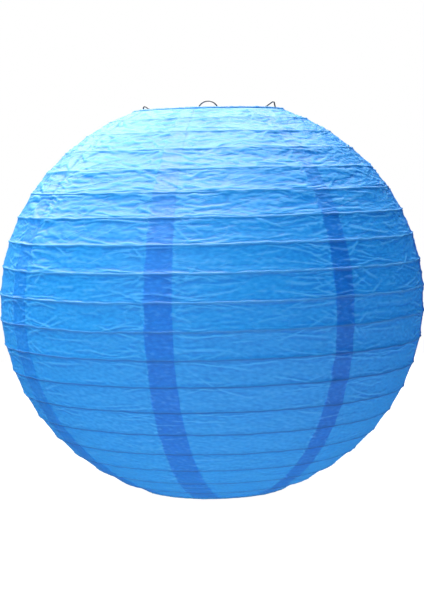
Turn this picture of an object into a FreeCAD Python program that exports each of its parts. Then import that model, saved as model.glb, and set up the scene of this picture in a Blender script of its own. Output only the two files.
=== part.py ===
import FreeCAD, Part
import math
import os
from FreeCAD import Vector

# Round accordion paper lantern, standing open on its bottom ring.
# Millimetres, +Z up. The origin is the centre of the bottom opening, on the surface it stands on.
# The wire expander lies in the XZ plane.

# Globe: two ring wires close the openings, and level hoops stand between them at equal steps
# along an ellipse's angle.
GLOBE_R = 200.0            # ellipse's half width, to the centre lines of the wires
GLOBE_HALF_HEIGHT = 190.0  # ellipse's half height
OPENING_R = 70.0           # centre line of the top and bottom rings
HOOPS = 18
GORES = 8

# Wires
RING_WIRE_R = 1.1
HOOP_WIRE_R = 0.4
EXPANDER_WIRE_R = 0.65

# Paper
PAPER = 0.2                # thickness of one layer
PAPER_TO_WIRE = 0.3        # gap that keeps the paper clear of the hoops
SINK = 0.9                 # how far the paper sinks between two hoops, from the straight line
LAP_DEG = 7.8              # how far each gore laps over the next one
LAP_GAP = 0.1              # between the two layers of a lap
LOW_LAYER = HOOP_WIRE_R + PAPER_TO_WIRE    # inner face of the paper, from the hoops' centre lines
HIGH_LAYER = LOW_LAYER + PAPER + LAP_GAP   # inner face of a lap
JOG_DEG = 0.1              # the step where a gore rises over the next one
GORE_GAP_DEG = 0.05        # between the edges of two gores in the lower layer
FIRST_SEAM_DEG = 4.1       # where the first lap starts, from +X

# Hem: paper folded round each ring wire in narrow flats, open towards the globe
HEM_IN_R = RING_WIRE_R + 0.05
HEM_OUT_R = RING_WIRE_R + 0.35
HEM_FLATS = 8
FLAT_DEG = 40.0            # one flat seen from the wire; the rest of the turn is left open
HEM_START_DEG = 10.0       # the fold starts here, from straight outward, so that one flat faces down
FLAT_TO_CORNER = 1 / math.cos(math.radians(FLAT_DEG / 2))
HEM_CORNER_R = HEM_OUT_R * FLAT_TO_CORNER

RING_Z = HEM_OUT_R
OPENING_ANGLE = math.asin(OPENING_R / GLOBE_R)
RING_HALF_SPACING = GLOBE_HALF_HEIGHT * math.cos(OPENING_ANGLE)
GLOBE_Z = RING_Z + RING_HALF_SPACING
TOP_RING_Z = GLOBE_Z + RING_HALF_SPACING

# Expander: corners of the bent wire's centre line on the +X side, as (x, z, bend radius).
# Heights of the upper corners are from the top ring's centre, and the foot's from the bottom ring's.
WIRE_TO_HEM = 0.4          # gap between the wire and a hem
UNDER_RING = HEM_OUT_R + WIRE_TO_HEM + EXPANDER_WIRE_R
ARCH_HALF_WIDTH = 10.5
ARCH_TOP = 9.9
PEAK = 7.8                 # where the wire bends down over the ring
BRIDGE = -4.5
LEG_X = 64.0
HOOK_X = 67.4              # just inside the top ring
LIP_X = 73.5               # the lip's end, past the ring
LIP_BEND = 1.6
LIP_HEIGHT = 3.5           # how far the foot's lip stands up
BEND_SPACE = 0.1           # straight run left between two bends
HOOK_LOW = -UNDER_RING - 2 * LIP_BEND - BEND_SPACE
UPPER_CORNERS = [
    (ARCH_HALF_WIDTH, ARCH_TOP, ARCH_HALF_WIDTH - BEND_SPACE),
    (ARCH_HALF_WIDTH, BRIDGE, 2.5),
    (46.5, BRIDGE, 6.0),
    (65.6, PEAK, 1.4),
    (HOOK_X, -UNDER_RING, LIP_BEND),
    (LIP_X, -UNDER_RING, LIP_BEND),
    (LIP_X, HOOK_LOW, LIP_BEND),
    (LEG_X, HOOK_LOW, 3.0),
]
FOOT_CORNERS = [
    (LEG_X, UNDER_RING, 3.0),
    (LIP_X, UNDER_RING, LIP_BEND),
    (LIP_X, UNDER_RING + LIP_HEIGHT, 0.0),
]


def rib_points():
    """Centre lines of the top ring, the hoops and the bottom ring as (radius, height), top first."""
    step = (math.pi - 2 * OPENING_ANGLE) / (HOOPS + 1)
    angles = [OPENING_ANGLE + i * step for i in range(HOOPS + 2)]
    return [(GLOBE_R * math.sin(a), GLOBE_Z + GLOBE_HALF_HEIGHT * math.cos(a)) for a in angles]


def outward(radius, height):
    """Unit normal of the globe's ellipse at a point of its outline."""
    normal = Vector(radius / GLOBE_R ** 2, 0, (height - GLOBE_Z) / GLOBE_HALF_HEIGHT ** 2)
    return normal.normalize()


def paper_line(offset):
    """The paper's outline at a distance outside the wires: one shallow arc from rib to rib.

    Both ends stop beside the ring wires, just outside their hems.
    """
    ribs = rib_points()
    points = [Vector(r, 0, z) + outward(r, z) * offset for r, z in ribs]
    end_r = OPENING_R + HEM_CORNER_R + PAPER_TO_WIRE + offset - LOW_LAYER
    for end in (0, -1):
        points[end] = Vector(end_r, 0, ribs[end][1])
    edges = []
    for a, b in zip(points, points[1:]):
        middle = (a + b) / 2
        middle -= outward(middle.x, middle.z) * SINK
        edges.append(Part.Arc(a, middle, b).toShape())
    return edges, points


def paper_shell(inner, outer, start_deg, sweep_deg):
    """A slice of the globe's paper between two offsets, turned about the axis."""
    inner_edges, inner_points = paper_line(inner)
    outer_edges, outer_points = paper_line(outer)
    ends = [
        Part.LineSegment(inner_points[0], outer_points[0]).toShape(),
        Part.LineSegment(inner_points[-1], outer_points[-1]).toShape(),
    ]
    outline = Part.Wire(Part.sortEdges(inner_edges + outer_edges + ends)[0])
    shell = Part.Face(outline).revolve(Vector(), Vector(0, 0, 1), sweep_deg)
    shell.rotate(Vector(), Vector(0, 0, 1), start_deg)
    return shell


def gore():
    """One strip of paper: its own width, then a step outward, then the lap over the next gore."""
    width = 360.0 / GORES
    body = paper_shell(LOW_LAYER, LOW_LAYER + PAPER, GORE_GAP_DEG, width - JOG_DEG - GORE_GAP_DEG)
    jog = paper_shell(LOW_LAYER, HIGH_LAYER + PAPER, width - JOG_DEG, JOG_DEG)
    lap = paper_shell(HIGH_LAYER, HIGH_LAYER + PAPER, width, LAP_DEG)
    strip = body.fuse([jog, lap]).removeSplitter()
    strip.rotate(Vector(), Vector(0, 0, 1), FIRST_SEAM_DEG - width)
    return strip


def ring_wire(radius, height, wire_r):
    return Part.makeTorus(radius, wire_r, Vector(0, 0, height))


def hem(height, side):
    """Paper folded round a ring wire. side is 1 at the bottom ring and -1 at the top ring."""
    turns = [math.radians(HEM_START_DEG - FLAT_DEG * i) for i in range(HEM_FLATS + 1)]
    rim = []
    for radius, angles in ((HEM_OUT_R, turns), (HEM_IN_R, reversed(turns))):
        reach = radius * FLAT_TO_CORNER
        for angle in angles:
            x = OPENING_R + reach * math.cos(angle)
            rim.append(Vector(x, 0, height + side * reach * math.sin(angle)))
    outline = Part.makePolygon(rim + rim[:1])
    return Part.Face(outline).revolve(Vector(), Vector(0, 0, 1), 360)


def bent_wire(corners, wire_r):
    """A round wire along straight runs and tangent bends in the XZ plane."""
    points = [Vector(x, 0, z) for x, z, bend in corners]
    edges = []
    start = points[0]
    for before, corner, after, (x, z, bend) in zip(points, points[1:], points[2:], corners[1:]):
        back = (before - corner).normalize()
        ahead = (after - corner).normalize()
        half_angle = back.getAngle(ahead) / 2
        to_tangent = bend / math.tan(half_angle)
        bisector = (back + ahead).normalize()
        middle = corner + bisector * (bend / math.sin(half_angle) - bend)
        bend_start = corner + back * to_tangent
        bend_end = corner + ahead * to_tangent
        edges.append(Part.LineSegment(start, bend_start).toShape())
        edges.append(Part.Arc(bend_start, middle, bend_end).toShape())
        start = bend_end
    edges.append(Part.LineSegment(start, points[-1]).toShape())
    path = Part.Wire(edges)
    section = Part.Wire(Part.makeCircle(wire_r, points[0], points[1] - points[0]))
    return path.makePipeShell([section], True, True)


def expander():
    """One wire: foot, leg, hook under and over the ring, bridge, hanging arch, and the same back."""
    right = [(x, TOP_RING_Z + z, bend) for x, z, bend in UPPER_CORNERS]
    right += [(x, RING_Z + z, bend) for x, z, bend in FOOT_CORNERS]
    left = [(-x, z, bend) for x, z, bend in reversed(right)]
    return bent_wire(left + right, EXPANDER_WIRE_R)


def save(name, shape):
    shape.exportStep("parts/" + name + ".step")


os.makedirs("parts", exist_ok=True)

first_gore = gore()
for number in range(GORES):
    turned = first_gore.copy()
    turned.rotate(Vector(), Vector(0, 0, 1), number * 360.0 / GORES)
    save("paper_gore_{}".format(number + 1), turned)

for number, (radius, height) in enumerate(rib_points()[1:-1], 1):
    save("rib_hoop_{:02d}".format(number), ring_wire(radius, height, HOOP_WIRE_R))

save("top_ring", ring_wire(OPENING_R, TOP_RING_Z, RING_WIRE_R))
save("bottom_ring", ring_wire(OPENING_R, RING_Z, RING_WIRE_R))
save("top_hem", hem(TOP_RING_Z, -1))
save("bottom_hem", hem(RING_Z, 1))
save("wire_expander", expander())
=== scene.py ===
import math

import bpy
import numpy as np
from mathutils import Matrix, Vector


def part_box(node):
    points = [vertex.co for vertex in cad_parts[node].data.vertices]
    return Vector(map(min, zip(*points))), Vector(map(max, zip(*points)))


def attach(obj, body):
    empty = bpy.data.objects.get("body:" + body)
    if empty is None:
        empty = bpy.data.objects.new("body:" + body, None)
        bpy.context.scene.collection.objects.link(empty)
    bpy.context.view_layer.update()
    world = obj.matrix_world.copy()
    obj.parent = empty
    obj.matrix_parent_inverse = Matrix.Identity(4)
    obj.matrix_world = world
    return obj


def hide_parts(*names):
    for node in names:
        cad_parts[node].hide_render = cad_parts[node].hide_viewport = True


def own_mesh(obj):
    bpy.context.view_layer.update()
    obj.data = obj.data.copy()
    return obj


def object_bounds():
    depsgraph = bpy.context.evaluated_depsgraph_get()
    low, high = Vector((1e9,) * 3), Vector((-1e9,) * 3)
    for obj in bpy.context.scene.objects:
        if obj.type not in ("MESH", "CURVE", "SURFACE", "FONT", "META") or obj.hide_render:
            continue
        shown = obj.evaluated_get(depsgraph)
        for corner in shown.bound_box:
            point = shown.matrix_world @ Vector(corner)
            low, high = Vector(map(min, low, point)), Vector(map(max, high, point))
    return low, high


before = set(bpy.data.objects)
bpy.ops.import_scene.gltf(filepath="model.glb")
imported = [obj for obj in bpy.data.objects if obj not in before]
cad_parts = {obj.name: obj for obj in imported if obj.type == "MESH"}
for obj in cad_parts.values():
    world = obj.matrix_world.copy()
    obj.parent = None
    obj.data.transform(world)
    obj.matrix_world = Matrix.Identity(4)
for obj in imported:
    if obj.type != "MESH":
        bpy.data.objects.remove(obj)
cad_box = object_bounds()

# Looks of the accordion paper lantern. Everything is in metres, and +Z is up.
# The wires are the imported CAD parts. Each paper gore and hem is a creased sheet made here.

MM = 0.001
SEED = 11

# Paper sheets. The globe is one map of rows, from the top ring to the bottom ring, and columns
# round the axis. Each gore is cut from it, so that creases run on from gore to gore.
GORES = 8
COLUMNS = 960
GORE_COLUMNS = 120
LAP_COLUMNS = 22
SPAN_ROWS = 34                 # rows from one rib to the next
ROW_CROWDING = 0.05            # how much closer the rows are beside the ribs
TOP_SHARE = 0.937              # the top ring's height over the middle, by the ellipse's half height
PAPER_ON_WIRE = 0.8 * MM       # from a hoop's centre line to the middle of the paper

# Laps, glued by hand: each one's place, in degrees from an even one, its width in mm, and how
# strongly its painted shade shows, the shade of two sheets that let less light through
FIRST_SEAM = math.radians(4.1)
SEAM_OFF = (1.1, 0.4, -1.2, 0.8, -0.5, -2.3, -0.7, 2.6)
LAP_WIDTH = (22.5, 23.5, 25.0, 22.0, 24.0, 25.0, 24.0, 19.5)
LAP_SHADE = (1.0, 0.9, 1.0, 0.8, 1.0, 0.55, 1.0, 1.0)
LAP_RISE = 0.3 * MM            # from the lower layer of a lap to the upper one
RAGGED_EDGE = 0.9 * MM         # how far the edge of a lap's painted shade band wanders
FOLDED_IN = 7.0 * MM           # width of the doubled edge at the bottom of every gore

# Relief between the ribs
SINK = 0.55 * MM               # how far the paper sinks in the middle of a span
RIDGE = 0.85 * MM              # how far it stands up over a rib
RIDGE_WIDTH = 0.95 * MM
FAINT_RELIEF = 0.10 * MM       # small unevenness everywhere
FREE_FROM_RIB = 2.6 * MM       # wrinkles are at their full height this far from a rib
LOWEST_ON_RIB = -0.3 * MM      # the paper comes no nearer to a hoop
SHARP_CREASE = 0.10 * MM       # a ridge this much over its surroundings counts as a full crease

# Single creases: how many are tried along each seam, and then on the whole globe
PUCKERS, TICKS, FANS = 260, 220, 90
RIB_FOLDS, LEVEL_CREASES, SLANTING_FOLDS = 260, 330, 110
FAN_RIBS = (4, 14)             # the first rib that the fans lie beside, and the one after the last
FOLD_RIBS = (1, 12)            # the same for the long folds that leave a rib

# Hems, folded round the ring wires
HEM_RADIUS = 1.55 * MM
HEM_GAP = 0.2 * MM             # from a hem to the edge of the globe's paper
HEM_ON_WIRE = 0.12 * MM        # least gap between the hem and its wire
HEM_STEPS = 720                # round the ring
HEM_FOLD = np.radians(np.linspace(24, -300, 19))[:, None]    # round the wire, open towards the globe
HEM_BUMP = 0.8 * MM            # thickness of a gore's folded end, past a seam
BUMP_OFF = 0.02                # from the start of a lap to its bump, as a share of the turn
BUMP_DEGREES = 3.0             # its half width, round the ring

# Camera: it looks a little down at the globe's middle
CAMERA_TURN = math.radians(20.0)
CAMERA_AWAY = 1.478
CAMERA_ABOVE = 0.115       # over the globe's middle
CAMERA_AIM = -0.0012       # height of the point that it looks at, from the globe's middle
CAMERA_ROLL = math.radians(-1.2)
LENS_MM = 93.0

# Light
ROOM_LIGHT = (0.02, 0.05, 0.09)
FLOOR_GLOW = 1.0
FLOOR_RADIUS = 1.1
FLOOR_SIDES = 96
FLOOR_WATTS = 13.6             # of the light that the floor throws back up
FRONT_WATTS = 39
FRONT_SIZE = 2.4
FRONT_PLACE = (-1.15, 2.0, 0.9)    # from the globe's middle: to the right, to the camera, up

# Suns: direction (to the right, to the camera, up), width in degrees, strength in W/m2, whether
# they show in the gloss, and whether they light the matt surface
SUNS = {
    "back_light": ((-0.24, -0.54, 1.0), 80, 9.0, True, True),
    "overhead_light": ((-0.42, 0.16, 1.0), 46, 1.8, False, True),
    "sheen_light": ((-0.08, 0.15, 1.0), 30, 1.8, True, False),
}

# The paper's colours, in linear light. A pair is for the dark and the light parts of the mottling.
SINGLE_LAYER = ((0.009, 0.315, 0.740, 1), (0.026, 0.405, 0.830, 1))
# Painted shade: doubled paper lets less light through, so it is given darker colours
DOUBLED_PAPER_SHADE = ((0.001, 0.226, 0.750, 1), (0.004, 0.300, 0.850, 1))
RUBBED_AND_HIGHLIT = (0.16, 0.62, 0.95, 1)       # on ridges: partly dye rubbed away, partly a painted highlight where ridges catch the light
FOLD_SHADE = (0.002, 0.170, 0.600, 1)    # painted shade in folds
FIBRE = (0.06, 0.50, 0.86, 1)
# Painted shadow of the hoop wires, seen through the paper
WIRE_SHADOW_TONE = (0.001, 0.085, 0.430, 1)
HAIRLINE = (0.35, 0.70, 0.95, 1)
THROUGH = 0.38                     # share of the paper's light that comes through it


def wire_ring(node):
    """Centre line radius, height and wire radius of a round wire, from its box."""
    low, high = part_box(node)
    wire = (high.z - low.z) / 2
    return (high.x - low.x) / 2 - wire, (high.z + low.z) / 2, wire


TOP_R, TOP_Z, RING_WIRE = wire_ring("top_ring")
BOTTOM_R, BOTTOM_Z = wire_ring("bottom_ring")[:2]
HOOPS = sorted(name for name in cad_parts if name.startswith("rib_hoop"))
RIBS = [(TOP_R, TOP_Z)] + [wire_ring(name)[:2] for name in HOOPS] + [(BOTTOM_R, BOTTOM_Z)]
SPANS = len(RIBS) - 1
MIDDLE_Z = (TOP_Z + BOTTOM_Z) / 2
GLOBE_R = max(radius for radius, height in RIBS)


# ---- the globe's grid ----

def smooth(low, high, x):
    """0 at low and 1 at high, eased at both ends. low may be the greater."""
    t = np.clip((x - low) / (high - low), 0, 1)
    return t * t * (3 - 2 * t)


EVEN = np.arange(SPAN_ROWS) / SPAN_ROWS
SPAN = np.append(np.repeat(np.arange(SPANS), SPAN_ROWS), SPANS - 1)
T = np.append(np.tile(EVEN - ROW_CROWDING * np.sin(2 * math.pi * EVEN), SPANS), 1.0)
ROWS = len(T)
DROP = ((SPAN + T) / SPANS)[:, None]                    # 0 at the top ring, 1 at the bottom ring
TURN = (np.arange(COLUMNS) / COLUMNS)[None, :]          # 0 to 1 round the axis
RIB = np.array(RIBS)
LINE = RIB[SPAN] * (1 - T)[:, None] + RIB[SPAN + 1] * T[:, None]
LINE_R, LINE_Z = LINE[:, :1], LINE[:, 1:]
AROUND = 2 * math.pi * LINE_R                           # once round the globe, in each row
STEP = np.linalg.norm(np.diff(LINE, axis=0), axis=1)
DOWN = np.append(0, np.cumsum(STEP))[:, None]           # along the paper from the top ring
PAPER_LENGTH = DOWN[-1, 0]
SPAN_LENGTH = PAPER_LENGTH / SPANS
TO_RIB = np.minimum(T, 1 - T)[:, None] * SPAN_LENGTH    # from each row to the nearest rib
TO_END = np.minimum(DROP, 1 - DROP) * SPANS             # from each row to the nearest ring, in spans


def outward():
    """The globe's outward direction in each row, as (radial, upward)."""
    upward = (LINE_Z - MIDDLE_Z) / (TOP_Z - MIDDLE_Z) * TOP_SHARE
    angle = np.arctan2(LINE_R / GLOBE_R, upward)
    return np.sin(angle), np.cos(angle)


def rolling(rng, across, down):
    """Smooth random slopes, from about -1 to 1: that many cells round the globe and down it."""
    angle = rng.uniform(0, 2 * math.pi, (down + 7, across))
    x = TURN * across + 0 * DROP
    y = DROP * down + 3 + 0 * TURN
    j, i = np.floor(x).astype(int), np.floor(y).astype(int)
    x, y = x - j, y - i

    def corner(right, below):
        g = angle[(i + below) % (down + 7), (j + right) % across]
        return np.cos(g) * (x - right) + np.sin(g) * (y - below)

    ease_x = x * x * x * (x * (6 * x - 15) + 10)
    ease_y = y * y * y * (y * (6 * y - 15) + 10)
    upper = corner(0, 0) * (1 - ease_x) + corner(1, 0) * ease_x
    lower = corner(0, 1) * (1 - ease_x) + corner(1, 1) * ease_x
    return 1.5 * (upper * (1 - ease_y) + lower * ease_y)


def facets(rng, across, down, bend):
    """Flat random facets with sharp creases, from -1 to 1: that many round the globe and down it."""
    heights = rng.uniform(-1, 1, (down + 7, across))
    mirrored = rng.random((down + 7, across)) < 0.5
    x = TURN * across + bend[0]
    y = DROP * down + 3 + bend[1]
    j, i = np.floor(x).astype(int), np.floor(y).astype(int)
    x, y = x - j, y - i
    flip = mirrored[i % (down + 7), j % across]
    x = np.where(flip, 1 - x, x)

    def corner(right, below):
        return heights[(i + below) % (down + 7), (j + np.where(flip, 1 - right, right)) % across]

    near = corner(0, 0) * (1 - x - y) + corner(1, 0) * x + corner(0, 1) * y
    far = corner(1, 1) * (x + y - 1) + corner(0, 1) * (1 - x) + corner(1, 0) * (1 - y)
    return np.where(x + y < 1, near, far)


def seam_turn(number):
    """Where a lap starts, as a share of the turn round the axis."""
    place = FIRST_SEAM + math.radians(SEAM_OFF[number % GORES])
    return (place / (2 * math.pi) + number / GORES) % 1.0


def lap_width(number):
    """The lap's width at each row: it narrows towards the top ring, with the gore."""
    return LAP_WIDTH[number] * MM * np.where(LINE_Z > MIDDLE_Z, LINE_R / GLOBE_R, 1)


def crumpled_share():
    """How crumpled the paper is, from 0 to 1: more near the top and beside laps, less on them."""
    share = 0.14 + 0.15 * smooth(0.62, 0.40, DROP) + 0.46 * smooth(0.42, 0.22, DROP) + 0 * TURN
    share = share * (0.80 + 0.20 * smooth(0.05, 0.28, DROP))
    for number in range(GORES):
        width = lap_width(number)
        middle = seam_turn(number) + width / 2 / AROUND
        away = np.abs((TURN - middle + 0.5) % 1.0 - 0.5) * AROUND
        beside = np.exp(-((away - width / 2) / (16 * MM)) ** 2)
        share = share + 0.14 * beside * (0.3 + smooth(0.62, 0.3, DROP))
        share = share * (1 - 0.45 * smooth(width * 0.55, width * 0.45, away))
    return np.clip(share, 0, 1)


def add_crease(relief, turn, drop, length, angle, height, width, bend):
    """Raises one sharp crease. turn is its place round the globe, and drop its place down it."""
    down = drop * PAPER_LENGTH
    rows = np.nonzero(np.abs(DOWN[:, 0] - down) < length / 2 * abs(math.sin(angle)) + 6 * width)[0]
    if not len(rows):
        return
    around = AROUND[rows]
    reach_across = length / 2 * abs(math.cos(angle)) + 5 * width
    half = min(int(reach_across / around.mean() * COLUMNS) + 1, COLUMNS // 2 - 1)
    columns = int(turn * COLUMNS) + np.arange(-half, half + 1)[None, :]
    across = (columns / COLUMNS - turn) * around
    below = DOWN[rows] - down
    along = across * math.cos(angle) + below * math.sin(angle)
    beside = below * math.cos(angle) - across * math.sin(angle) + bend * along ** 2
    fade = np.cos(np.clip(along / length, -0.5, 0.5) * math.pi) ** 2
    relief[rows[:, None], columns % COLUMNS] += height * fade * np.exp(-np.abs(beside) / width)


def beside_seam(number, drop, away):
    """The turn at a distance past the start of a lap."""
    around = np.interp(drop * PAPER_LENGTH, DOWN[:, 0], AROUND[:, 0])
    return seam_turn(number) + away / around


def lap_edge(number, side):
    """Distance from the start of a lap to its edge. side is -1 at its start and 1 at its end."""
    return (0.5 + side * 0.5) * LAP_WIDTH[number] * MM


def seam_puckers(relief, rng, number):
    """Short creases at both edges of a lap, more of them and higher in the upper half."""
    for _ in range(PUCKERS):
        drop = rng.uniform(0.01, 0.99)
        strong = 0.25 + 0.75 * smooth(0.66, 0.42, drop)
        if rng.uniform() > strong + 0.1:
            continue
        length = rng.uniform(8, 38) * MM
        side = rng.choice((-1, 1))
        away = lap_edge(number, side) * 0.8 + side * rng.normal(0.4, 0.2) * length
        angle = math.radians(rng.normal(0, 21))
        height = rng.uniform(0.15, 0.75) * strong * MM
        width = rng.uniform(0.5, 1.3) * MM
        add_crease(relief, beside_seam(number, drop, away), drop, length, angle, height, width,
                   rng.normal(0, 5))


def seam_ticks(relief, rng, number):
    """Tiny puckers along the glued start of a lap."""
    for _ in range(TICKS):
        drop = rng.uniform(0.03, 0.97)
        turn = beside_seam(number, drop, rng.normal(0, 1.6) * MM)
        length = rng.uniform(4, 10) * MM
        angle = math.radians(rng.normal(0, 26))
        add_crease(relief, turn, drop, length, angle, rng.uniform(0.1, 0.32) * MM, 0.55 * MM, 0)


def seam_fans(relief, rng, number):
    """Long creases that leave a lap beside the ribs, nearly level."""
    for _ in range(FANS):
        drop = (rng.integers(*FAN_RIBS) + rng.normal(0, 0.16)) / SPANS
        length = rng.uniform(30, 85) * MM
        side = rng.choice((-1, 1))
        turn = beside_seam(number, drop, lap_edge(number, side) + side * 0.42 * length)
        angle = math.radians(rng.normal(0, 9))
        height = rng.uniform(0.25, 0.75) * MM
        width = rng.uniform(0.45, 0.8) * MM
        add_crease(relief, turn, drop, length, angle, height, width, rng.normal(0, 3))


def rib_folds(relief, rng):
    """Long folds that leave the ribs at a small angle, in the upper part."""
    for _ in range(RIB_FOLDS):
        rib = rng.integers(*FOLD_RIBS)
        angle = math.radians(rng.choice((-1, 1)) * rng.uniform(1.0, 9.0))
        drop = (rib + rng.uniform(-0.25, 0.25)) / SPANS
        turn = rng.uniform()
        length = rng.uniform(35, 110) * MM
        height = rng.uniform(0.3, 0.9) * MM
        width = rng.uniform(0.6, 1.2) * MM
        add_crease(relief, turn, drop, length, angle, height, width, rng.normal(0, 0.8))


def level_creases(relief, rng):
    """Fine creases that run nearly level, most of them round the middle."""
    for _ in range(LEVEL_CREASES):
        drop = rng.beta(2.0, 2.6)
        angle = math.radians(rng.normal(0, 6))
        turn = rng.uniform()
        length = rng.uniform(18, 75) * MM
        height = rng.uniform(0.15, 0.5) * MM
        width = rng.uniform(0.45, 0.8) * MM
        add_crease(relief, turn, drop, length, angle, height, width, rng.normal(0, 1.5))


def slanting_folds(relief, rng):
    """Single folds that cross the spans aslant, in the upper half."""
    for _ in range(SLANTING_FOLDS):
        drop = rng.uniform(0.03, 0.55)
        angle = math.radians(rng.choice((-1, 1)) * rng.uniform(14, 48))
        turn = rng.uniform()
        length = rng.uniform(16, 52) * MM
        height = rng.uniform(0.25, 0.8) * MM
        width = rng.uniform(0.6, 1.3) * MM
        add_crease(relief, turn, drop, length, angle, height, width, rng.normal(0, 4))


def sharp_creases():
    """All the single creases of the paper."""
    rng = np.random.default_rng(SEED)
    relief = np.zeros((ROWS, COLUMNS))
    for number in range(GORES):
        seam_puckers(relief, rng, number)
        seam_ticks(relief, rng, number)
        seam_fans(relief, rng, number)
    rib_folds(relief, rng)
    level_creases(relief, rng)
    slanting_folds(relief, rng)
    return relief


def crumples():
    """Paper that was crushed and pulled out again: flat facets with sharp creases between them."""
    rng = np.random.default_rng(SEED + 3)
    straight = (0, 0)
    broad_bend = (0.7 * facets(rng, 24, 37, straight), 0.9 * facets(rng, 26, 33, straight))
    fine_bend = (0.8 * facets(rng, 60, 80, straight), 1.1 * facets(rng, 56, 76, straight))
    broad = facets(rng, 44, 78, broad_bend)
    middle = facets(rng, 92, 164, fine_bend)
    fine = facets(rng, 170, 270, fine_bend)
    top = smooth(0.50, 0.22, DROP)
    height = (0.95 - 0.2 * top) * broad + (0.30 + 0.25 * top) * middle + (0.13 + 0.10 * top) * fine
    return height * MM * (1 + 0.6 * rolling(rng, 24, 19))


def paper_relief():
    """How far the paper stands out from the straight lines between the ribs."""
    rng = np.random.default_rng(SEED + 1)
    lower = smooth(0.45, 0.75, DROP)
    upper = smooth(0.34, 0.14, DROP)
    skewed = T[:, None] ** (1 - 0.40 * lower)
    hollow = 1 - np.abs(2 * skewed - 1) ** 2.6
    sink = (SINK - 0.15 * MM * upper) * (1 + 0.5 * rolling(rng, 36, 19))
    ridge = (RIDGE - 0.45 * MM * lower - 0.40 * MM * upper) * (1 + 0.9 * rolling(rng, 70, 19))
    ridge = ridge * np.exp(-(TO_RIB / RIDGE_WIDTH) ** 1.5)
    faint = rolling(rng, 240, 190) * FAINT_RELIEF
    wrinkles = crumples() * CRUMPLED + sharp_creases() + faint
    free = 0.10 + 0.90 * smooth(0, FREE_FROM_RIB, TO_RIB)
    lowest = LOWEST_ON_RIB - 0.3 * TO_RIB
    return np.maximum(ridge - sink * hollow + wrinkles * free, lowest)


def globe_points():
    """Radius and height of every map point of the paper's lower layer, and its outward direction."""
    rng = np.random.default_rng(SEED + 2)
    out_r, out_z = outward()
    near_end = np.clip(1 - TO_END / 0.5, 0, 1) ** 2
    out_r = out_r * (1 - near_end) + near_end
    out_z = out_z * (1 - near_end)
    beside_hem = HEM_RADIUS + HEM_GAP - PAPER_ON_WIRE
    stand_out = PAPER_ON_WIRE + beside_hem * near_end + RELIEF * (1 - near_end)
    wander = (rolling(rng, 16, 19) * 1.1 + rolling(rng, 80, 19) * 0.6) * MM
    wander = wander * smooth(0.5, 3.0, TO_END)
    radius = LINE_R + out_r * stand_out + out_z * wander
    height = LINE_Z + out_z * stand_out - out_r * wander
    return radius, height, out_r + 0 * TURN, out_z + 0 * TURN


def blurred(values, times):
    """The map's values evened out over their neighbours."""
    for _ in range(times):
        padded = np.pad(values, ((1, 1), (0, 0)), mode="edge")
        beside = np.roll(values, 1, axis=1) + np.roll(values, -1, axis=1)
        values = (padded[:-2] + padded[2:] + beside) / 4
    return values


CRUMPLED = crumpled_share()
RELIEF = paper_relief()
POINT_R, POINT_Z, OUT_R, OUT_Z = globe_points()
CREASED = np.clip((RELIEF - blurred(RELIEF, 6)) / SHARP_CREASE, -1, 1)   # 1 on a ridge, -1 in a fold

# Painted shade at each row: the painted shadow of the hoops' wires seen through the paper, and the
# painted shade of a second layer of paper, weaker near the rings
WIRE_SHADOW = np.exp(-(TO_RIB / (0.70 * MM)) ** 2) * (0.25 + 0.75 * smooth(0.40, 0.62, DROP))
LAYER_SHADOW = 0.35 + 0.65 * smooth(0.14, 0.46, DROP) - 0.40 * smooth(0.74, 0.97, DROP)


# ---- pieces ----

def sheet_mesh(name, points, closed=False):
    """A mesh over a grid of points, shape (rows, columns, 3)."""
    rows, columns = points.shape[:2]
    index = np.arange(rows * columns).reshape(rows, columns)
    right = np.roll(index, -1, axis=1)
    if not closed:
        index, right = index[:, :-1], right[:, :-1]
    quads = np.stack([index[:-1], index[1:], right[1:], right[:-1]], axis=-1).reshape(-1, 4)
    mesh = bpy.data.meshes.new(name)
    mesh.from_pydata(points.reshape(-1, 3).tolist(), [], quads.tolist())
    mesh.shade_smooth()
    piece = bpy.data.objects.new(name, mesh)
    bpy.context.scene.collection.objects.link(piece)
    return piece


def keep_value(piece, name, values):
    """Stores one number, or one vector, for each vertex, for the material to read."""
    values = np.asarray(values, np.float32)
    kind = "FLOAT_VECTOR" if values.ndim == 3 else "FLOAT"
    field = "vector" if values.ndim == 3 else "value"
    piece.data.attributes.new(name, kind, "POINT").data.foreach_set(field, values.ravel())


def cut(values, column):
    """A map's values along each row, at places given as columns that may lie between two."""
    left = np.floor(column).astype(int)
    share = column - left
    row = np.arange(ROWS)[:, None]
    return values[row, left % COLUMNS] * (1 - share) + values[row, (left + 1) % COLUMNS] * share


def gore_turn(number, edge):
    """The turn of every point of a gore, from its edge under the last lap to its own lap's edge."""
    start = seam_turn(number - 1)
    width = (seam_turn(number) - start) % 1.0
    lap = lap_width(number) / AROUND
    main_steps = np.arange(GORE_COLUMNS + 1)[None, :] / GORE_COLUMNS
    lap_steps = np.arange(1, LAP_COLUMNS + 1)[None, :] / LAP_COLUMNS
    main = start + width * main_steps + 0 * DOWN
    turn = np.concatenate([main, start + width + lap * lap_steps], axis=1)
    turn[:, -1:] += 0.25 * MM * edge / AROUND
    return turn, (turn - start) * AROUND, (turn - start - width) * AROUND


def gore_doubled_shade(number, edge, from_start, past_seam):
    """Painted shade where the paper is doubled and lets less light through: on both laps and in the
    folded bottom edge.
    """
    own = LAP_SHADE[number] * smooth(-0.5 * MM, 0.5 * MM, past_seam + RAGGED_EDGE * edge)
    last_lap = lap_width(number - 1)
    under = LAP_SHADE[number - 1] * smooth(last_lap + 0.3 * MM, last_lap - 0.3 * MM, from_start)
    to_bottom = DOWN[-1] - DOWN + 0.8 * MM * edge
    folded_in = 0.5 * smooth(FOLDED_IN + 0.5 * MM, FOLDED_IN - 0.5 * MM, to_bottom)
    return np.maximum(np.maximum(own, under) * LAYER_SHADOW, folded_in)


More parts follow.
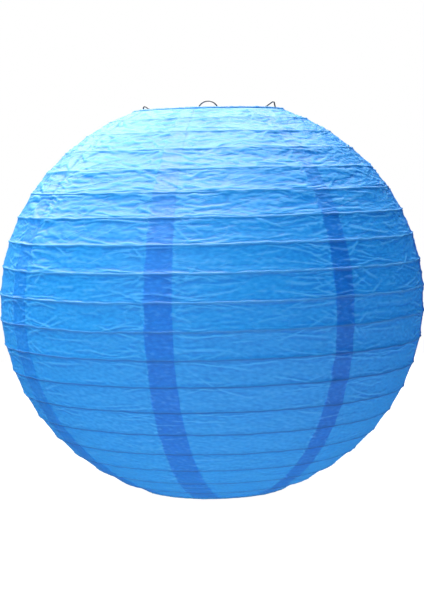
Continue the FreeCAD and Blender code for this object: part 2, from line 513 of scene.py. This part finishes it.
def gore(number, material):
    """One strip of paper, cut from the globe. Its lap stands out over the next gore."""
    rng = np.random.default_rng(SEED + 20 + number)
    edge = np.interp(DOWN, np.linspace(0, PAPER_LENGTH, 90), rng.uniform(-1, 1, 90))
    turn, from_start, past_seam = gore_turn(number, edge)
    column = turn * COLUMNS
    lift = LAP_RISE * smooth(-1.5 * MM, 0, past_seam)
    radius = cut(POINT_R, column) + cut(OUT_R, column) * lift
    height = cut(POINT_Z, column) + cut(OUT_Z, column) * lift
    angle = turn * 2 * math.pi
    points = np.stack([radius * np.cos(angle), radius * np.sin(angle), height], axis=-1)
    piece = sheet_mesh("gore_sheet_{}".format(number + 1), points)

    place = np.stack([radius * angle, DOWN + 0 * radius, 0 * radius + number * 0.5], axis=-1)
    # doubled_shade: painted shade where two sheets let less light through
    keep_value(piece, "doubled_shade", gore_doubled_shade(number, edge, from_start, past_seam))
    # crease: sets the painted ridge highlight and the painted shade in folds
    keep_value(piece, "crease", cut(CREASED, column))
    keep_value(piece, "crumpled", cut(CRUMPLED, column))
    # wire: painted shadow of the hoop wires seen through the paper
    keep_value(piece, "wire", WIRE_SHADOW + 0 * radius)
    keep_value(piece, "place", place)
    piece.data.materials.append(material)

    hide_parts("paper_gore_{}".format(number + 1))
    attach(piece, "base")
    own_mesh(piece)


def hem_reach(rng, fold, turn):
    """How far the hem is from its wire's centre line, with bumps past the seams, and its crumple."""
    def around(count):
        """Random values, that many round the ring, joined by straight lines."""
        values = rng.uniform(-1, 1, count)
        return np.interp(turn * count, np.arange(count + 1), np.append(values, values[0]))[None, :]

    crumple = 0.18 * around(150) + 0.12 * around(330) * np.cos(fold * 3 + 4 * around(40))
    outer = smooth(-0.2, 1.0, np.cos(fold - math.radians(-20)))
    bumps = np.zeros_like(turn)
    for number in range(GORES):
        gap = (turn - seam_turn(number) - BUMP_OFF + 0.5) % 1.0 - 0.5
        bumps += rng.uniform(0.3, 0.9) * np.exp(-(gap * 360 / BUMP_DEGREES) ** 2)
    reach = HEM_RADIUS + MM * crumple + HEM_BUMP * bumps[None, :] * outer
    return np.maximum(reach, RING_WIRE + HEM_ON_WIRE), crumple


def hem(name, node, body, ring_r, ring_z, side, material):
    """Paper folded round a ring wire. side is 1 at the bottom ring and -1 at the top ring."""
    rng = np.random.default_rng(SEED + 50 + side)
    turn = np.arange(HEM_STEPS) / HEM_STEPS
    angle = turn * 2 * math.pi
    reach, crumple = hem_reach(rng, HEM_FOLD, turn)
    radius = ring_r + reach * np.cos(HEM_FOLD)
    height = np.maximum(ring_z + side * reach * np.sin(HEM_FOLD), cad_box[0].z)
    points = np.stack([radius * np.cos(angle), radius * np.sin(angle), height], axis=-1)
    piece = sheet_mesh(name, points, closed=True)

    # doubled_shade: painted shade of the paper doubled round the wire, uneven with the crumple
    keep_value(piece, "doubled_shade", 0.25 + 0.5 * crumple)
    # crease: sets the painted ridge highlight and the painted shade in folds
    keep_value(piece, "crease", np.clip(crumple * 4, -1, 1) + 0 * radius)
    keep_value(piece, "crumpled", 0.5 + 0 * radius)
    keep_value(piece, "wire", 0 * radius)
    keep_value(piece, "place", np.stack([radius * angle, reach * HEM_FOLD, 0 * radius], axis=-1))
    piece.data.materials.append(material)

    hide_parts(node)
    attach(piece, body)


# ---- materials ----

MIX_A, MIX_B, MIX_RESULT = 6, 7, 2     # the colour sockets of a Mix node


class Nodes:
    """Makes a material's nodes and links in few words."""

    def __init__(self, name):
        self.material = bpy.data.materials.new(name)
        self.material.use_nodes = True
        self.tree = self.material.node_tree
        self.tree.nodes.clear()

    def add(self, kind, settings=(), **inputs):
        node = self.tree.nodes.new(kind)
        for key, value in dict(settings).items():
            setattr(node, key, value)
        for key, value in inputs.items():
            self.put(node.inputs[key.replace("_", " ")], value)
        return node

    def put(self, socket, value):
        if isinstance(value, bpy.types.NodeSocket):
            self.tree.links.new(value, socket)
        else:
            socket.default_value = value

    def maths(self, operation, a, b=0.0):
        node = self.add("ShaderNodeMath", {"operation": operation})
        self.put(node.inputs[0], a)
        self.put(node.inputs[1], b)
        return node.outputs[0]

    def times(self, a, b):
        return self.maths("MULTIPLY", a, b)

    def plus(self, a, b):
        return self.maths("ADD", a, b)

    def over(self, value, low=0.0):
        """How far the value is over another. It is 0 where the value is lower."""
        return self.maths("MAXIMUM", self.maths("SUBTRACT", value, low), 0.0)

    def spread(self, value, low, high):
        """0 where the value is low and 1 where it is high."""
        node = self.add("ShaderNodeMapRange", Value=value)
        node.inputs["From Min"].default_value = low
        node.inputs["From Max"].default_value = high
        return node.outputs["Result"]

    def mix(self, share, a, b):
        node = self.add("ShaderNodeMix", {"data_type": "RGBA"})
        self.put(node.inputs["Factor"], share)
        self.put(node.inputs[MIX_A], a)
        self.put(node.inputs[MIX_B], b)
        return node.outputs[MIX_RESULT]

    def value(self, name, vector=False):
        node = self.add("ShaderNodeAttribute", {"attribute_name": name})
        return node.outputs["Vector" if vector else "Fac"]

    def noise(self, place, scale, detail, rough=0.55):
        node = self.add("ShaderNodeTexNoise", Vector=place, Scale=scale, Detail=detail)
        self.put(node.inputs["Roughness"], rough)
        return node.outputs["Fac"]

    def stretched(self, place, scale):
        node = self.add("ShaderNodeMapping", Vector=place, Scale=scale)
        return node.outputs[0]

    def finish(self, shader):
        output = self.add("ShaderNodeOutputMaterial")
        self.tree.links.new(shader, output.inputs["Surface"])
        return self.material


def hairlines(n, place, across, down, width):
    """Fine straight creases: the edges of cells that wide and high, per metre, with gaps in them."""
    bent = n.add("ShaderNodeVectorMath", {"operation": "MULTIPLY_ADD"})
    n.put(bent.inputs[0], n.add("ShaderNodeTexNoise", Vector=place, Scale=60.0).outputs["Color"])
    n.put(bent.inputs[1], (0.006, 0.003, 0))
    n.put(bent.inputs[2], place)
    cells = n.add("ShaderNodeTexVoronoi", {"voronoi_dimensions": "2D", "feature": "DISTANCE_TO_EDGE"},
                  Vector=n.stretched(bent.outputs[0], (across, down, 1)), Scale=1.0)
    near = n.spread(cells.outputs["Distance"], width, 0.0)
    gaps = n.spread(n.noise(place, 70, 1), 0.44, 0.58)
    return n.times(near, gaps)


def paper_colour(n, place, ridge, fold, fibres, lines):
    """Mottled dye, with painted shade where the paper is doubled, in folds and over the hoop wires,
    and a paler ridge tint that is partly rubbed dye and partly painted highlight.
    """
    mottle = n.spread(n.noise(n.stretched(place, (150, 330, 1)), 1.0, 5, 0.65), 0.33, 0.67)
    # Painted shade where the paper is doubled
    colour = n.mix(n.value("doubled_shade"), n.mix(mottle, *SINGLE_LAYER), n.mix(mottle, *DOUBLED_PAPER_SHADE))
    # Paler on ridges: partly rubbed dye, partly a painted highlight
    colour = n.mix(n.times(ridge, 0.33), colour, RUBBED_AND_HIGHLIT)
    # Painted shade in folds
    colour = n.mix(n.times(fold, 0.45), colour, FOLD_SHADE)
    colour = n.mix(n.times(n.over(fibres, 0.52), 1.3), colour, FIBRE)
    # Painted shadow of the hoop wires along the ribs
    colour = n.mix(n.times(n.value("wire"), 0.85), colour, WIRE_SHADOW_TONE)
    return n.mix(n.times(lines, 0.10), colour, HAIRLINE)


def paper_lines(n, place):
    """Hairline creases of two sizes, strongest where the paper is crumpled."""
    wide = hairlines(n, place, 40, 95, 0.06)
    narrow = hairlines(n, place, 95, 150, 0.07)
    strength = n.plus(n.times(n.value("crumpled"), 1.3), 0.12)
    return n.times(n.plus(wide, n.times(narrow, 0.6)), strength)


def blue_paper():
    """Dyed tissue paper: a fibrous, slightly glossy surface that lets some light through."""
    n = Nodes("blue_paper")
    place = n.value("place", vector=True)
    crease = n.value("crease")
    ridge, fold = n.over(crease), n.over(n.times(crease, -1.0))
    fibres = n.noise(n.stretched(place, (350, 900, 1)), 1.0, 4, 0.7)
    grain = n.noise(place, 1300, 2, 0.6)
    lines = paper_lines(n, place)
    colour = paper_colour(n, place, ridge, fold, fibres, lines)

    height = n.plus(lines, n.plus(n.times(fibres, 0.14), n.times(grain, 0.07)))
    bump = n.add("ShaderNodeBump", Strength=1.0, Distance=0.14 * MM, Height=height).outputs[0]
    rough = n.plus(n.plus(n.times(fibres, 0.2), 0.32), n.times(ridge, 0.35))
    front = n.add("ShaderNodeBsdfPrincipled", Base_Color=colour, Roughness=rough, Normal=bump)
    front.inputs["IOR"].default_value = 1.55
    front.inputs["Specular IOR Level"].default_value = 0.9
    through = n.add("ShaderNodeBsdfTranslucent", Color=colour, Normal=bump)
    both = n.add("ShaderNodeMixShader")
    n.put(both.inputs[0], THROUGH)
    n.put(both.inputs[1], front.outputs[0])
    n.put(both.inputs[2], through.outputs[0])
    return n.finish(both.outputs[0])


def steel_wire(name, dark, light, lines):
    """Drawn steel wire, with fine marks, that many per metre, and dull patches of oxide."""
    n = Nodes(name)
    place = n.add("ShaderNodeTexCoord").outputs["Object"]
    patches = n.noise(place, 160, 4)
    marks = n.noise(n.stretched(place, (lines, lines, lines * 6)), 1.0, 5, 0.7)
    colour = n.mix(patches, dark, light)
    rough = n.plus(n.times(patches, 0.3), 0.22)
    bump = n.add("ShaderNodeBump", Strength=0.3, Distance=0.05 * MM, Height=marks).outputs[0]
    shader = n.add("ShaderNodeBsdfPrincipled", Base_Color=colour, Roughness=rough, Normal=bump)
    shader.inputs["Metallic"].default_value = 1.0
    return n.finish(shader.outputs[0])


def pale_floor():
    """A table top that glows white by itself, so that the lantern's shadow hardly shows on it."""
    n = Nodes("pale_floor")
    cloud = n.noise(n.add("ShaderNodeTexCoord").outputs["Object"], 3, 2)
    colour = n.mix(cloud, (0.03, 0.03, 0.03, 1), (0.04, 0.04, 0.04, 1))
    shader = n.add("ShaderNodeBsdfPrincipled", Base_Color=colour, Roughness=0.8)
    shader.inputs["Emission Color"].default_value = (1, 1, 1, 1)
    shader.inputs["Emission Strength"].default_value = FLOOR_GLOW
    return n.finish(shader.outputs[0])


def dress(node, material):
    """Gives a CAD wire its finish and a smooth surface."""
    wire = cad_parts[node]
    wire.data.materials.clear()
    wire.data.materials.append(material)
    wire.data.shade_smooth()


# ---- stage ----

def beside_camera(step):
    """A step given as (to the camera's right, towards the camera, up), in the scene's axes."""
    right, near, up = step
    across = Vector((math.cos(CAMERA_TURN), math.sin(CAMERA_TURN), 0))
    towards = Vector((math.sin(CAMERA_TURN), -math.cos(CAMERA_TURN), 0))
    return across * right + towards * near + Vector((0, 0, up))


def aim(thing, place, target, roll=0.0):
    """Puts a camera or light at a place, looking at a target."""
    thing.location = place
    turn = (Vector(target) - Vector(place)).to_track_quat("-Z", "Y").to_matrix().to_4x4()
    thing.rotation_euler = (turn @ Matrix.Rotation(roll, 4, "Z")).to_euler()


def area_light(name, place, target, size, watts):
    """A round lamp that gives matt light only."""
    light = bpy.data.lights.new(name, "AREA")
    light.shape = "DISK"
    light.size = size
    light.energy = watts
    lamp = bpy.data.objects.new(name, light)
    lamp.visible_camera = False
    lamp.visible_glossy = False
    bpy.context.scene.collection.objects.link(lamp)
    aim(lamp, place, target)


def sun_light(name, direction, width, strength, glossy, matt):
    """A large far light. It can be left out of the gloss, or give nothing but gloss."""
    light = bpy.data.lights.new(name, "SUN")
    light.angle = width
    light.energy = strength
    lamp = bpy.data.objects.new(name, light)
    lamp.visible_glossy = glossy
    lamp.visible_diffuse = matt
    lamp.visible_transmission = matt
    bpy.context.scene.collection.objects.link(lamp)
    aim(lamp, direction, (0, 0, 0))


def studio_world():
    """A room that looks white, and lights the object with a weaker and bluer light."""
    world = bpy.data.worlds.new("studio")
    world.use_nodes = True
    nodes, links = world.node_tree.nodes, world.node_tree.links
    colour = nodes.new("ShaderNodeMix")
    colour.data_type = "RGBA"
    colour.inputs[MIX_A].default_value = (*ROOM_LIGHT, 1)
    colour.inputs[MIX_B].default_value = (1, 1, 1, 1)
    links.new(nodes.new("ShaderNodeLightPath").outputs["Is Camera Ray"], colour.inputs["Factor"])
    links.new(colour.outputs[MIX_RESULT], nodes["Background"].inputs["Color"])
    return world


def floor():
    """The round table top under the lantern. Only the camera sees it."""
    turns = [2 * math.pi * i / FLOOR_SIDES for i in range(FLOOR_SIDES)]
    rim = [(FLOOR_RADIUS * math.cos(turn), FLOOR_RADIUS * math.sin(turn), 0) for turn in turns]
    mesh = bpy.data.meshes.new("floor")
    mesh.from_pydata(rim, [], [tuple(range(FLOOR_SIDES))])
    mesh.materials.append(pale_floor())
    ground = bpy.data.objects.new("floor", mesh)
    bpy.context.scene.collection.objects.link(ground)
    ground.visible_glossy = False
    ground.visible_diffuse = False
    ground.visible_transmission = False


def stage():
    """The floor, the room, the lights and the camera."""
    floor()
    bpy.context.scene.world = studio_world()
    bpy.context.scene.view_settings.view_transform = "Standard"

    middle = Vector((0, 0, MIDDLE_Z))
    for name, (direction, degrees, strength, glossy, matt) in SUNS.items():
        sun_light(name, beside_camera(direction), math.radians(degrees), strength, glossy, matt)
    area_light("floor_light", (0, 0, 0.5 * MM), (0, 0, 1), 2 * FLOOR_RADIUS, FLOOR_WATTS)
    area_light("front_light", middle + beside_camera(FRONT_PLACE), middle, FRONT_SIZE, FRONT_WATTS)

    camera = bpy.data.objects.new("camera", bpy.data.cameras.new("camera"))
    bpy.context.scene.collection.objects.link(camera)
    camera.data.lens = LENS_MM
    camera.data.clip_start = 0.01
    place = middle + beside_camera((0, CAMERA_AWAY, CAMERA_ABOVE))
    aim(camera, place, middle + Vector((0, 0, CAMERA_AIM)), CAMERA_ROLL)
    bpy.context.scene.camera = camera


stage()
paper = blue_paper()
for number in range(GORES):
    gore(number, paper)
hem("top_hem_fold", "top_hem", "crown", TOP_R, TOP_Z, -1, paper)
hem("bottom_hem_fold", "bottom_hem", "base", BOTTOM_R, BOTTOM_Z, 1, paper)

hoop_steel = steel_wire("hoop_wire", (0.20, 0.19, 0.18, 1), (0.42, 0.41, 0.40, 1), 300)
ring_steel = steel_wire("ring_wire", (0.18, 0.18, 0.18, 1), (0.40, 0.40, 0.40, 1), 260)
expander_steel = steel_wire("expander_wire", (0.10, 0.095, 0.09, 1), (0.30, 0.29, 0.28, 1), 260)
for node in HOOPS:
    dress(node, hoop_steel)
dress("top_ring", ring_steel)
dress("bottom_ring", ring_steel)
dress("wire_expander", expander_steel)
